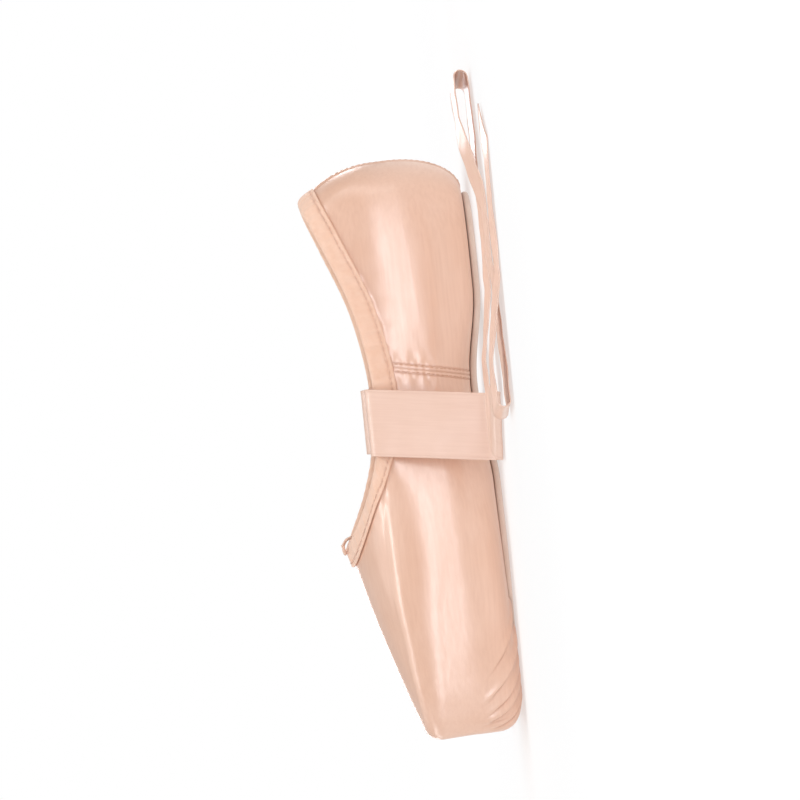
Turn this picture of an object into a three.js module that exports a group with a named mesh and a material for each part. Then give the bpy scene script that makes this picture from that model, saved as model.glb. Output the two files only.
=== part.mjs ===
// A pointe shoe for either foot: a satin upper with a stiff, flat-ended toe box, closed underneath by a
// short leather outsole, with an insole inside, a folded binding round the collar, the drawstring tucked
// in at the throat, and two satin ribbons that hang over the sides and lie folded on the floor.
//
// Millimetres. +X runs from heel to toe, +Z up, the floor is z = 0 and the plane y = 0 is the middle of
// the shoe.

import * as THREE from "three";

// ----------------------------------------------------------------------------------------------------
// Driving sizes
// ----------------------------------------------------------------------------------------------------

const LENGTH = 220;
const BALL_WIDTH = 86;
const INSTEP_HEIGHT = 59; // floor to the throat of the collar
const HEEL_HEIGHT = 64; // floor to the back of the collar
const SOLE_THICKNESS = 2.6;
const ARCH_LIFT = 4.5; // how far the waist of the sole stands off the floor
const ARCH_FROM = -0.27 * LENGTH; // the lifted stretch, from the seat of the heel
const ARCH_TO = 0.07 * LENGTH; // to the joint
const GAP = 0.3; // between pieces that meet

const COLLAR_WALL = 1.8; // thickness of the upper at its top edge
const FLANGE_WALL = 2; // thickness of the part turned under the foot
const HOLE_LONG = 0.93; // the hole in that part is the outsole's outline, drawn in by these shares
const HOLE_WIDE = 0.7;

const BINDING_WIDTH = 7.5;
const BINDING_TAPE = 0.8; // thickness of the tape on each side of the wall
const BINDING_CREST = 1.3; // how far the fold stands above the wall's edge

const RIBBON_WIDTH = 25;
const RIBBON_THICKNESS = 0.8;
const RIBBON_LENGTH = 480;
const CORD_RADIUS = 0.6;

// ----------------------------------------------------------------------------------------------------
// The last: a number in each column for each section of half the shoe, from heel to toe
// ----------------------------------------------------------------------------------------------------

// The sections: heel back, heel turn, heel side, seat, waist, front of waist, joint, ball, wing, box,
// front of box, corner, end of corner, platform side, toe.
const HEEL_TOP = HEEL_HEIGHT / INSTEP_HEIGHT;
const OUTLINES = {
  // The widest line of the wall, the edge of the outsole and the top edge: x is a share of LENGTH, y of
  // half the BALL_WIDTH and collarZ of INSTEP_HEIGHT.
  wideX: [
    -0.5, -0.465, -0.382, -0.255, -0.127, -0.018, 0.082, 0.182,
    0.282, 0.368, 0.436, 0.4765, 0.4915, 0.497, 0.4975,
  ],
  wideY: [0, 0.43, 0.628, 0.665, 0.681, 0.779, 0.921, 1, 0.945, 0.855, 0.752, 0.642, 0.56, 0.35, 0],
  soleX: [
    -0.436, -0.416, -0.359, -0.25, -0.127, -0.018, 0.082, 0.164,
    0.245, 0.305, 0.341, 0.361, 0.368, 0.372, 0.373,
  ],
  soleY: [0, 0.267, 0.419, 0.395, 0.307, 0.36, 0.477, 0.547, 0.5, 0.384, 0.256, 0.156, 0.1, 0.05, 0],
  collarX: [
    -0.441, -0.417, -0.361, -0.25, -0.127, -0.047, 0.014, 0.069,
    0.109, 0.134, 0.147, 0.153, 0.156, 0.158, 0.1585,
  ],
  collarY: [0, 0.3, 0.49, 0.6, 0.68, 0.763, 0.76, 0.651, 0.5, 0.36, 0.251, 0.17, 0.112, 0.058, 0],
  collarZ: [
    HEEL_TOP, 1.057, 0.974, 0.822, 0.74, 0.745, 0.776, 0.84, 0.905, 0.953, 0.977, 0.989, 0.996, 0.999, 1,
  ],
};
const WALLS = {
  // mm: the height of the widest line, the height of the knee and how far it leans in from that line, how
  // far round each way the knee turns, the crown of the wall from there to the collar, how far the wall
  // sags below the top of the sole, and the wall's thickness. square is the exponent of its superellipse
  // under the widest line.
  wideZ: [30, 29, 27, 25, 23, 22, 21, 20, 20, 20, 20, 20, 20, 20, 20],
  kneeZ: [49, 48, 45, 38, 34, 35, 38.5, 41.8, 42.4, 40.2, 38.4, 37.1, 36.7, 36.8, 36.9],
  kneeIn: [0.5, 0.5, 0.5, 0.4, -0.3, 0.3, 0.4, 0.5, 0.4, 0.3, 0, -0.5, -0.8, -1, -1],
  round: [13, 12, 11, 8, 7, 8, 12, 15, 13, 10.5, 8.5, 7, 6.2, 6, 6],
  crown: [0.8, 0.8, 0.6, 0.5, 0.3, 0.4, 0.6, 1, 1.2, 1.3, 1.3, 1.3, 1.3, 1.3, 1.3],
  belly: [0, 0, 0, 0, 0, 0, 0.1, 0.4, 0.9, 1.4, 1.7, 1.8, 1.9, 1.9, 1.9],
  wall: [2, 2, 2, 1.8, 1.8, 1.9, 2.3, 2.8, 3.1, 3.4, 3.8, 4.2, 4.6, 4.8, 5],
  square: [2.1, 2.1, 2.1, 2.1, 2, 2, 2.2, 2.4, 2.6, 3, 3.3, 3.6, 3.8, 4, 4],
};
const SECTIONS = { ...OUTLINES, ...WALLS };
// The columns that change sign on the other half of the shoe.
const ACROSS = ["wideY", "soleY", "collarY"];
const LAST = OUTLINES.wideX.length - 1;
const STEPS_BETWEEN = 3; // meridians for each section of the table

// How far along the widest line each section lies.
const stationAt = OUTLINES.wideX.reduce((at, x, i) => {
  if (i === 0) return [0];
  const dx = (x - OUTLINES.wideX[i - 1]) * LENGTH;
  const dy = ((OUTLINES.wideY[i] - OUTLINES.wideY[i - 1]) * BALL_WIDTH) / 2;
  return [...at, at[i - 1] + Math.hypot(dx, dy)];
}, []);

// Section i's number in a column. The sections before the first and after the last are mirror images.
function numberAt(i, column) {
  const k = i < 0 ? -i : i > LAST ? 2 * LAST - i : i;
  const flipped = k !== i && ACROSS.includes(column);
  return flipped ? -SECTIONS[column][k] : SECTIONS[column][k];
}

function placeOf(i) {
  if (i < 0) return -stationAt[-i];
  if (i > LAST) return 2 * stationAt[LAST] - stationAt[2 * LAST - i];
  return stationAt[i];
}

// A column of the table at station t, counted in sections, on a smooth curve through its numbers.
function columnAt(column, t) {
  const i = Math.min(Math.floor(t), LAST - 1);
  const value = (k) => numberAt(i + k, column);
  const step = (k) => placeOf(i + k + 1) - placeOf(i + k);
  const slope = (k) => (value(k + 1) - value(k)) / step(k);
  const tangent = (k) =>
    (slope(k) * step(k - 1) + slope(k - 1) * step(k)) / (step(k) + step(k - 1));
  const h = step(0);
  const u = t - i;
  return (
    value(0) * (1 + 2 * u) * (1 - u) ** 2 +
    tangent(0) * h * u * (1 - u) ** 2 +
    value(1) * (3 - 2 * u) * u * u +
    tangent(1) * h * (u - 1) * u * u
  );
}

// The sole's height off the floor at x.
function archLift(x) {
  const along = (x - ARCH_FROM) / (ARCH_TO - ARCH_FROM);
  return along <= 0 || along >= 1
    ? 0
    : ARCH_LIFT * Math.sin(Math.PI * along) ** 2;
}

const TURN_AT_MOST = 0.9; // of the way from the knee to the widest line or to the collar

// All of a section's points and sizes in mm. ring runs from 0 at the heel to LAST at the toe on the +Y
// side, and on to 2 LAST at the heel again on the -Y side.
const known = new Map();
function sectionAt(ring) {
  const turned = ((ring % (2 * LAST)) + 2 * LAST) % (2 * LAST);
  const key = turned.toFixed(4);
  if (known.has(key)) return known.get(key);
  const side = turned > LAST ? -1 : 1;
  const t = turned > LAST ? 2 * LAST - turned : turned;
  const c = Object.fromEntries(Object.keys(SECTIONS).map((name) => [name, columnAt(name, t)]));
  const half = (side * BALL_WIDTH) / 2;
  const wide = new THREE.Vector3(c.wideX * LENGTH, c.wideY * half, c.wideZ);
  const sole = new THREE.Vector3(c.soleX * LENGTH, c.soleY * half, 0);
  sole.z = archLift(sole.x) + SOLE_THICKNESS + GAP;
  const collar = new THREE.Vector3(
    c.collarX * LENGTH,
    c.collarY * half,
    c.collarZ * INSTEP_HEIGHT,
  );
  const inward = new THREE.Vector3(sole.x - wide.x, sole.y - wide.y, 0).normalize();
  const soleMiddle = ((OUTLINES.soleX[0] + OUTLINES.soleX[LAST]) / 2) * LENGTH;
  const hole = new THREE.Vector3(
    THREE.MathUtils.lerp(soleMiddle, sole.x, HOLE_LONG),
    sole.y * HOLE_WIDE,
    0,
  );
  hole.z = archLift(hole.x) + SOLE_THICKNESS + GAP;
  const knee = wide.clone().addScaledVector(inward, c.kneeIn).setZ(c.kneeZ);
  const reach = Math.min(
    c.round,
    TURN_AT_MOST * knee.distanceTo(wide),
    TURN_AT_MOST * knee.distanceTo(collar),
  );
  const toward = (end) =>
    knee.clone().addScaledVector(end.clone().sub(knee).normalize(), reach);
  const ends = { turnFrom: toward(wide), turnTo: toward(collar) };
  const made = { ...c, wide, sole, collar, hole, knee, ...ends };
  known.set(key, made);
  return made;
}

// ----------------------------------------------------------------------------------------------------
// The skin: the outer face of the upper. ring goes round the shoe, v climbs from the hole underneath
// ----------------------------------------------------------------------------------------------------

const AT_SOLE = 1; // v at the sole's edge
const AT_WIDE = 2; // at the widest line
const AT_TURN = 3; // where the knee starts
const AT_TOP = 4; // where it ends
const AT_COLLAR = 5;
const BELLY_FROM = 0.16; // how far to the widest line, as a share, the belly is full

function skin(ring, v) {
  const s = sectionAt(ring);
  if (v < AT_SOLE) return s.hole.clone().lerp(s.sole, v);
  if (v < AT_WIDE) {
    const angle = ((v - AT_SOLE) * Math.PI) / 2;
    const [sin, cos] = [Math.sin(angle), Math.cos(angle)];
    const radius = (sin ** s.square + cos ** s.square) ** (-1 / s.square);
    const out = radius * sin;
    const up = 1 - radius * cos;
    const sag = s.belly * THREE.MathUtils.smoothstep(out, 0, BELLY_FROM) * (1 - up);
    return s.sole.clone().lerp(s.wide, out).setZ(s.sole.z + (s.wide.z - s.sole.z) * up - sag);
  }
  if (v < AT_TURN) return s.wide.clone().lerp(s.turnFrom, v - AT_WIDE);
  if (v < AT_TOP) {
    const u = v - AT_TURN;
    const first = s.turnFrom.clone().lerp(s.knee, u);
    return first.lerp(s.knee.clone().lerp(s.turnTo, u), u);
  }
  const u = Math.min(v, AT_COLLAR) - AT_TOP;
  const straight = s.turnTo.clone().lerp(s.collar, u);
  straight.z += s.crown * 4 * u * (1 - u);
  return straight;
}

const NEAR = 0.02; // a small step of ring or v

// The outward direction of the skin.
function normalAt(ring, v) {
  const low = Math.max(v - NEAR, 0);
  const high = Math.min(v + NEAR, AT_COLLAR);
  const round = skin(ring + NEAR, v).sub(skin(ring - NEAR, v));
  const up = skin(ring, high).sub(skin(ring, low));
  return up.cross(round).normalize();
}

function skinOff(ring, v, out) {
  return skin(ring, v).addScaledVector(normalAt(ring, v), out);
}

const FULL_WALL_BY = AT_SOLE + 0.5; // the v where the wall under the foot has its full thickness

// The wall's thickness: thin at the collar and underneath, and the section's own between them.
function thicknessAt(ring, v) {
  const full = sectionAt(ring).wall;
  const fromSole = THREE.MathUtils.smoothstep(v, AT_SOLE, FULL_WALL_BY);
  const fromCollar = 1 - THREE.MathUtils.smoothstep(v, AT_TOP, AT_COLLAR);
  const edge = v < AT_WIDE ? FLANGE_WALL : COLLAR_WALL;
  return edge + (full - edge) * (v < AT_WIDE ? fromSole : fromCollar);
}

// The wall from its widest line to the top edge, as lengths measured down from that edge at steps of v.
const FINE = 0.125;
const downs = new Map();
function downAt(ring) {
  if (downs.has(ring)) return downs.get(ring);
  const table = [{ v: AT_COLLAR, below: 0 }];
  let at = skin(ring, AT_COLLAR);
  for (let v = AT_COLLAR - FINE; v >= AT_WIDE; v -= FINE) {
    const next = skin(ring, v);
    table.push({ v, below: table.at(-1).below + at.distanceTo(next) });
    at = next;
  }
  downs.set(ring, table);
  return table;
}

// The v of the point below mm down the wall from the top edge.
function vBelow(ring, below) {
  const table = downAt(ring);
  const i = Math.max(1, table.findIndex((row) => row.below >= below - 1e-6));
  const share = (below - table[i - 1].below) / (table[i].below - table[i - 1].below);
  return table[i - 1].v - FINE * share;
}

// A point by the collar, below mm down the wall (or above the edge, where that is negative). It lies out
// mm off the skin, or where out is negative, that far into the wall and past the wall's own thickness.
function byCollar(ring, below, out) {
  const v = vBelow(ring, Math.max(below, 0));
  const off = out >= 0 ? out : out - thicknessAt(ring, v);
  const p = skinOff(ring, v, off);
  if (below >= 0) return p;
  const edge = skin(ring, AT_COLLAR);
  const up = edge.sub(skin(ring, AT_COLLAR - FINE)).normalize();
  return p.addScaledVector(up, -below);
}

// ----------------------------------------------------------------------------------------------------
// Lofts: closed meshes through sections, which are lists of as many points each
// ----------------------------------------------------------------------------------------------------

function meshOf(points, triangles) {
  const geometry = new THREE.BufferGeometry();
  const flat = points.flatMap((p) => [p.x, p.y, p.z]);
  geometry.setAttribute("position", new THREE.Float32BufferAttribute(flat, 3));
  geometry.setIndex(triangles);
  geometry.computeVertexNormals();
  return geometry;
}

// Quads between neighbouring sections, and from the last to the first where the loft is a ring. Each is
// split along its shorter diagonal, so that faces which run side by side split alike.
function loft(sections, isRing) {
  const n = sections[0].length;
  const points = sections.flat();
  const quads = isRing ? sections.length : sections.length - 1;
  const triangles = [];
  for (let i = 0; i < quads; i++) {
    const next = (i + 1) % sections.length;
    for (let j = 0; j < n; j++) {
      const [a, b] = [i * n + j, i * n + ((j + 1) % n)];
      const [c, d] = [next * n + j, next * n + ((j + 1) % n)];
      const rising = points[a].distanceTo(points[d]) < points[b].distanceTo(points[c]);
      if (rising) triangles.push(a, b, d, a, d, c);
      else triangles.push(a, b, c, b, d, c);
    }
  }
  if (!isRing) {
    // Each end is closed by strips between the two halves of its section.
    const end = (sections.length - 1) * n;
    for (let j = 0; j < n / 2 - 1; j++) {
      const [a, b, c, d] = [j, j + 1, n - 2 - j, n - 1 - j];
      triangles.push(a, c, b, a, d, c);
      triangles.push(end + a, end + b, end + c, end + a, end + c, end + d);
    }
  }
  return meshOf(points, triangles);
}

// The places of the meridians round the whole shoe.
const MERIDIANS = Array.from(
  { length: 2 * LAST * STEPS_BETWEEN },
  (_, i) => i / STEPS_BETWEEN,
);

// ----------------------------------------------------------------------------------------------------
// Pieces
// ----------------------------------------------------------------------------------------------------

// Where a section of the upper has points: at LOW_AT below the widest line, at CLIMB_AT above it, where 0
// is that line and 1 the foot of the binding, and at the binding's own heights.
const LOW_AT = [0, 1, 1.1, 1.25, 1.42, 1.55, 1.68, 1.84];
const CLIMB_AT = [0, 0.33, 0.42, 0.5, 0.59, 0.68, 0.84];
const BINDING_HEIGHTS = [BINDING_WIDTH, BINDING_WIDTH / 2, 0];

function makeUpper() {
  const sections = MERIDIANS.map((ring) => {
    const heights = BINDING_HEIGHTS.map((below) => vBelow(ring, below));
    const climb = CLIMB_AT.map((share) => THREE.MathUtils.lerp(AT_WIDE, heights[0], share));
    const vs = [...LOW_AT, ...climb, ...heights];
    const outer = vs.map((v) => skin(ring, v));
    const inner = vs.map((v) => skinOff(ring, v, -thicknessAt(ring, v)));
    return [...outer, ...inner.reverse()];
  });
  return loft(sections, true);
}

const SHOULDER = 0.8; // of the crest's height, where the tape turns over the collar

// A tape folded over the collar, as an inverted U that clears the wall by GAP.
function makeBinding() {
  const [low, middle, edge] = BINDING_HEIGHTS;
  const crest = -BINDING_CREST;
  const profile = [
    { below: low, out: GAP },
    { below: low, out: GAP + BINDING_TAPE },
    { below: middle, out: GAP + BINDING_TAPE },
    { below: edge, out: GAP + BINDING_TAPE },
    { below: crest * SHOULDER, out: GAP },
    { below: crest, out: -COLLAR_WALL / 2, inWall: true },
    { below: crest * SHOULDER, out: -GAP },
    { below: edge, out: -GAP - BINDING_TAPE },
    { below: middle, out: -GAP - BINDING_TAPE },
    { below: low, out: -GAP - BINDING_TAPE },
    { below: low, out: -GAP },
    { below: middle, out: -GAP },
    { below: -GAP, out: -GAP },
    { below: -GAP, out: GAP },
    { below: middle, out: GAP },
  ];
  const sections = MERIDIANS.map((ring) =>
    profile.map(({ below, out, inWall }) => byCollar(ring, below, inWall ? out + COLLAR_WALL : out)),
  );
  return loft(sections, true);
}

const mirrored = (p) => new THREE.Vector3(p.x, -p.y, p.z);

// A flat piece as wide as the shoe: a section for each station from heel to toe, whose edge points are
// mirrored to the other side.
function makeFlat(stations, edgeAt) {
  const sections = stations.map((ring) => {
    const edge = edgeAt(ring);
    return [...edge, ...edge.map(mirrored).reverse()];
  });
  return loft(sections, false);
}

// Stations along half the shoe, which start and end where the piece is still a little wide.
const BLUNT = 0.12;
const HALF_STATIONS = Array.from({ length: STEPS_BETWEEN * LAST + 1 }, (_, i) =>
  THREE.MathUtils.clamp(i / STEPS_BETWEEN, BLUNT, LAST - BLUNT),
);

// The outsole: flat below but for the arch, with a rounded lower edge and a thin bevel above.
function makeOutsole() {
  const profile = [
    { inset: 1.6 + GAP, rise: 0 },
    { inset: 0.5 + GAP, rise: 0.5 },
    { inset: GAP, rise: 1.2 },
    { inset: GAP, rise: SOLE_THICKNESS - 0.5 },
    { inset: 0.6 + GAP, rise: SOLE_THICKNESS },
  ];
  return makeFlat(HALF_STATIONS, (ring) => {
    const at = sectionAt(ring).sole;
    const along = sectionAt(ring + BLUNT / 2).sole.clone().sub(sectionAt(ring - BLUNT / 2).sole);
    const inward = new THREE.Vector3(along.y, -along.x, 0).normalize();
    return profile.map(({ inset, rise }) => {
      const p = at.clone().addScaledVector(inward, inset);
      return p.setZ(archLift(p.x) + rise);
    });
  });
}

// The insole: a board that fills the foot bed, and the hole in the flange down to the outsole.
const INSOLE_UP = 0.26; // how far up the wall its edge turns, as a share of v
const KEPT_WIDTH = 0.5; // of the hole's width, the least that fills it where the hole is narrow
function makeInsole() {
  const clear = (ring, v) => skinOff(ring, v, -thicknessAt(ring, v) - GAP);
  return makeFlat(HALF_STATIONS, (ring) => {
    const { hole } = sectionAt(ring);
    const inHole = new THREE.Vector3(hole.x, hole.y, 0);
    inHole.x -= (GAP * hole.x) / ((HOLE_LONG * LENGTH) / 2);
    inHole.y = Math.max(hole.y - GAP, hole.y * KEPT_WIDTH);
    const flange = clear(ring, 0);
    return [
      inHole.clone().setZ(archLift(inHole.x) + SOLE_THICKNESS + GAP),
      inHole.clone().setZ(flange.z),
      clear(ring, AT_SOLE),
      clear(ring, AT_SOLE + INSOLE_UP / 2),
      clear(ring, AT_SOLE + INSOLE_UP),
    ];
  });
}

// ----------------------------------------------------------------------------------------------------
// Ribbons: a flat strip, bent in turn over the creases of a table
// ----------------------------------------------------------------------------------------------------

// The strip starts inside the shoe at x, y, z, where plan is the heading of its width and lean how far it
// leans to the toe as it climbs. at is how far along the strip a crease lies, skew how far the crease
// leans from square, turn the bend in degrees (positive towards the face that starts outwards) and radius
// the bend's own.
const RIBBON_START = { x: -16, y: 27.4, z: 21.5, plan: 10, lean: 10 };
const TO_THE_FLOOR = [
  { name: "over the collar", at: 23.3, skew: 10, turn: 166, radius: 3.4 },
  { name: "on to the floor", at: 74.2, skew: 10, turn: -76, radius: 7 },
];
const LEFT_FOLDS = [
  ...TO_THE_FLOOR,
  { name: "first fold", at: 106, skew: -46, turn: -180, radius: 2 },
  { name: "down", at: 134, skew: 0, turn: -9, radius: 14 },
  { name: "level", at: 159.5, skew: 0, turn: 9, radius: 14 },
  { name: "back", at: 234, skew: -13, turn: 180, radius: 2.6 },
  { name: "down again", at: 260, skew: 0, turn: 11, radius: 14 },
  { name: "level again", at: 287, skew: 0, turn: -11, radius: 14 },
  { name: "forward", at: 370, skew: -15, turn: -180, radius: 2.4 },
  { name: "to the floor", at: 394, skew: 0, turn: -10, radius: 14 },
  { name: "along it", at: 422.5, skew: 0, turn: 10, radius: 14 },
];
const RIGHT_FOLDS = [
  ...TO_THE_FLOOR,
  { name: "first fold", at: 102, skew: 43, turn: -180, radius: 2.2 },
  { name: "down", at: 130, skew: 0, turn: -9, radius: 14 },
  { name: "level", at: 158, skew: 0, turn: 9, radius: 14 },
  { name: "back", at: 224, skew: 12, turn: 180, radius: 2.4 },
  { name: "down again", at: 250, skew: 0, turn: 10, radius: 14 },
  { name: "level again", at: 278, skew: 0, turn: -10, radius: 14 },
  { name: "forward", at: 384, skew: 17, turn: -180, radius: 2.4 },
  { name: "to the floor", at: 408, skew: 0, turn: -10, radius: 14 },
  { name: "along it", at: 436, skew: 0, turn: 10, radius: 14 },
];

const radians = THREE.MathUtils.degToRad;

// The strip's point s mm along and w mm across, and its face direction there.
function onRibbon(start, folds, s, w) {
  const { x, y, z, plan, lean } = start;
  const T = new THREE.Vector3(0, 0, 1);
  const B = new THREE.Vector3(Math.cos(radians(plan)), Math.sin(radians(plan)), 0);
  const N = T.clone().cross(B);
  T.applyAxisAngle(N, radians(lean));
  B.applyAxisAngle(N, radians(lean));
  const O = new THREE.Vector3(x, y, z);
  for (const fold of folds) {
    const [sin, cos] = [Math.sin(radians(fold.skew)), Math.cos(radians(fold.skew))];
    const past = (s - fold.at) * cos - w * sin;
    if (past <= 0) break;
    const full = radians(Math.abs(fold.turn));
    const angle = Math.min(full, past / fold.radius);
    const side = Math.sign(fold.turn);
    const across = T.clone().multiplyScalar(sin).addScaledVector(B, cos);
    const ahead = T.clone().multiplyScalar(cos).addScaledVector(B, -sin);
    const base = O.clone().addScaledVector(T, fold.at);
    const rolled = base
      .addScaledVector(ahead, fold.radius * Math.sin(angle))
      .addScaledVector(N, side * fold.radius * (1 - Math.cos(angle)));
    const newAhead = ahead
      .clone()
      .multiplyScalar(Math.cos(angle))
      .addScaledVector(N, side * Math.sin(angle));
    N.multiplyScalar(Math.cos(angle)).addScaledVector(ahead, -side * Math.sin(angle));
    T.copy(newAhead).multiplyScalar(cos).addScaledVector(across, sin);
    B.copy(across).multiplyScalar(cos).addScaledVector(newAhead, -sin);
    O.copy(rolled).addScaledVector(newAhead, -fold.radius * angle).addScaledVector(T, -fold.at);
    if (angle < full) break;
  }
  return { point: O.addScaledVector(T, s).addScaledVector(B, w), face: N };
}

const DEGREES_PER_RULING = 30;
const END_SKEW = 26; // how far the cut end leans from square

// Straight lines across the strip, which lie along the creases where it bends.
function rulingsOf(folds) {
  const rulings = [{ at: 0, skew: 0 }];
  for (const { at, skew, turn, radius } of folds) {
    const steps = Math.max(2, Math.ceil(Math.abs(turn) / DEGREES_PER_RULING));
    const long = (radius * radians(Math.abs(turn))) / Math.cos(radians(skew));
    for (let i = 0; i <= steps; i++) rulings.push({ at: at + (long * i) / steps, skew });
  }
  return [...rulings, { at: RIBBON_LENGTH - RIBBON_WIDTH / 4, skew: END_SKEW }];
}

function makeRibbon(side, start, folds) {
  const half = RIBBON_WIDTH / 2;
  const sections = rulingsOf(folds).map(({ at, skew }) =>
    [
      { w: -half, out: -1 },
      { w: half, out: -1 },
      { w: half, out: 1 },
      { w: -half, out: 1 },
    ].map(({ w, out }) => {
      const { point, face } = onRibbon(start, folds, at + w * Math.tan(radians(skew)), w);
      point.addScaledVector(face, (out * RIBBON_THICKNESS) / 2);
      return side > 0 ? point : mirrored(point);
    }),
  );
  if (side < 0) sections.forEach((section) => section.reverse());
  return loft(sections, false);
}

// ----------------------------------------------------------------------------------------------------
// The drawstring: it comes from under the vamp, over the binding at the throat, and lies along the tape
// ----------------------------------------------------------------------------------------------------

// down is measured from the collar's edge down the vamp, across to the shoe's left, and out from the
// binding.
const DRAWSTRING = [
  { down: 16, across: -4.4, out: -8.2 },
  { down: 11.5, across: -4, out: -7.4 },
  { down: 7, across: -3.5, out: -6.6 },
  { down: 3, across: -3, out: -6 },
  { down: -0.6, across: -2.6, out: -5.4 },
  { down: -2.9, across: -2.2, out: -3.7 },
  { down: -3.2, across: -1.9, out: -1.5 },
  { down: -1.8, across: -1.5, out: 0.6 },
  { down: 0.2, across: -0.8, out: 1.3 },
  { down: 1.7, across: 0.7, out: 1.3 },
  { down: 1.5, across: 2.7, out: 1.2 },
  { down: 0.5, across: 4.6, out: 1.2 },
  { down: -0.7, across: 6.5, out: 1.2 },
  { down: -1.9, across: 8.3, out: 1.2 },
];
const CORD_SIDES = 8;

function makeDrawstring() {
  const edge = skin(LAST, AT_COLLAR);
  const down = skin(LAST, AT_COLLAR - FINE).sub(edge).normalize();
  const out = new THREE.Vector3(-down.z, 0, down.x);
  const points = DRAWSTRING.map((at) =>
    edge
      .clone()
      .addScaledVector(down, at.down)
      .addScaledVector(out, GAP + BINDING_TAPE + at.out)
      .setY(at.across),
  );
  const circle = new THREE.Shape(
    Array.from({ length: CORD_SIDES }, (_, i) => {
      const angle = (2 * Math.PI * i) / CORD_SIDES;
      return new THREE.Vector2(Math.cos(angle), Math.sin(angle)).multiplyScalar(CORD_RADIUS);
    }),
  );
  return new THREE.ExtrudeGeometry(circle, {
    extrudePath: new THREE.CatmullRomCurve3(points),
    steps: 2 * DRAWSTRING.length,
  });
}

// ----------------------------------------------------------------------------------------------------
// The shoe
// ----------------------------------------------------------------------------------------------------

const satin = { color: 0xeac0a6, roughness: 0.38, metalness: 0 };
const tape = { color: 0xeec8ae, roughness: 0.8, metalness: 0 };
const leather = { color: 0xdcc6b6, roughness: 0.9, metalness: 0 };
const canvas = { color: 0xf1e6d8, roughness: 0.9, metalness: 0 };

const shoe = new THREE.Group();
function add(name, geometry, looks) {
  const mesh = new THREE.Mesh(geometry, new THREE.MeshStandardMaterial(looks));
  mesh.name = name;
  shoe.add(mesh);
}

add("upper", makeUpper(), satin);
add("binding", makeBinding(), tape);
add("outsole", makeOutsole(), leather);
add("insole", makeInsole(), canvas);
add("drawstring", makeDrawstring(), tape);
add("ribbon_left", makeRibbon(1, RIBBON_START, LEFT_FOLDS), satin);
add("ribbon_right", makeRibbon(-1, RIBBON_START, RIGHT_FOLDS), satin);

export default shoe;
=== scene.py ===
"""A satin pointe shoe that stands empty on its sole, its ribbons folded beside it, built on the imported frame.

Lengths are in mm until a mesh is made. +X runs from heel to toe, +Z up, and y = 0 is the middle of the shoe.
"""

import math

import bmesh
import bpy
import numpy as np
from mathutils import Matrix, Vector
from mathutils.bvhtree import BVHTree


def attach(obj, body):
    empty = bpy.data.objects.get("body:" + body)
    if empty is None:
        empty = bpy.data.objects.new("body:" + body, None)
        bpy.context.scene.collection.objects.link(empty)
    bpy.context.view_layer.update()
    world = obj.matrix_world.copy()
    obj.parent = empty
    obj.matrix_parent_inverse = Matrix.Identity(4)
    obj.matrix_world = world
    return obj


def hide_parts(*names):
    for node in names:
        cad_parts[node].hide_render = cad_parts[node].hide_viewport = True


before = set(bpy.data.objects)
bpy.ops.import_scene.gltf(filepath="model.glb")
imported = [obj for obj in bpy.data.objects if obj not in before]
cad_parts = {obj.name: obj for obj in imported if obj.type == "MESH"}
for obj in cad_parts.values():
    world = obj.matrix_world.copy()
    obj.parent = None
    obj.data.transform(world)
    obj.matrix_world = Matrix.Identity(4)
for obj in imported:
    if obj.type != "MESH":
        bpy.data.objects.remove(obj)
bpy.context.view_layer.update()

MM = 0.001

# ---- Sizes shared with the CAD part ----

LENGTH = 220
BALL_WIDTH = 86
INSTEP_HEIGHT = 59
HEEL_HEIGHT = 64
SOLE_THICKNESS = 2.6
ARCH_LIFT = 4.5
ARCH_FROM = -0.27 * LENGTH
ARCH_TO = 0.07 * LENGTH
GAP = 0.3
COLLAR_WALL = 1.8
FLANGE_WALL = 2
HOLE_LONG = 0.93
HOLE_WIDE = 0.7
BINDING_WIDTH = 7.5
BINDING_TAPE = 0.8
RIBBON_WIDTH = 25
RIBBON_LENGTH = 480
CORD_RADIUS = 0.6

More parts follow.
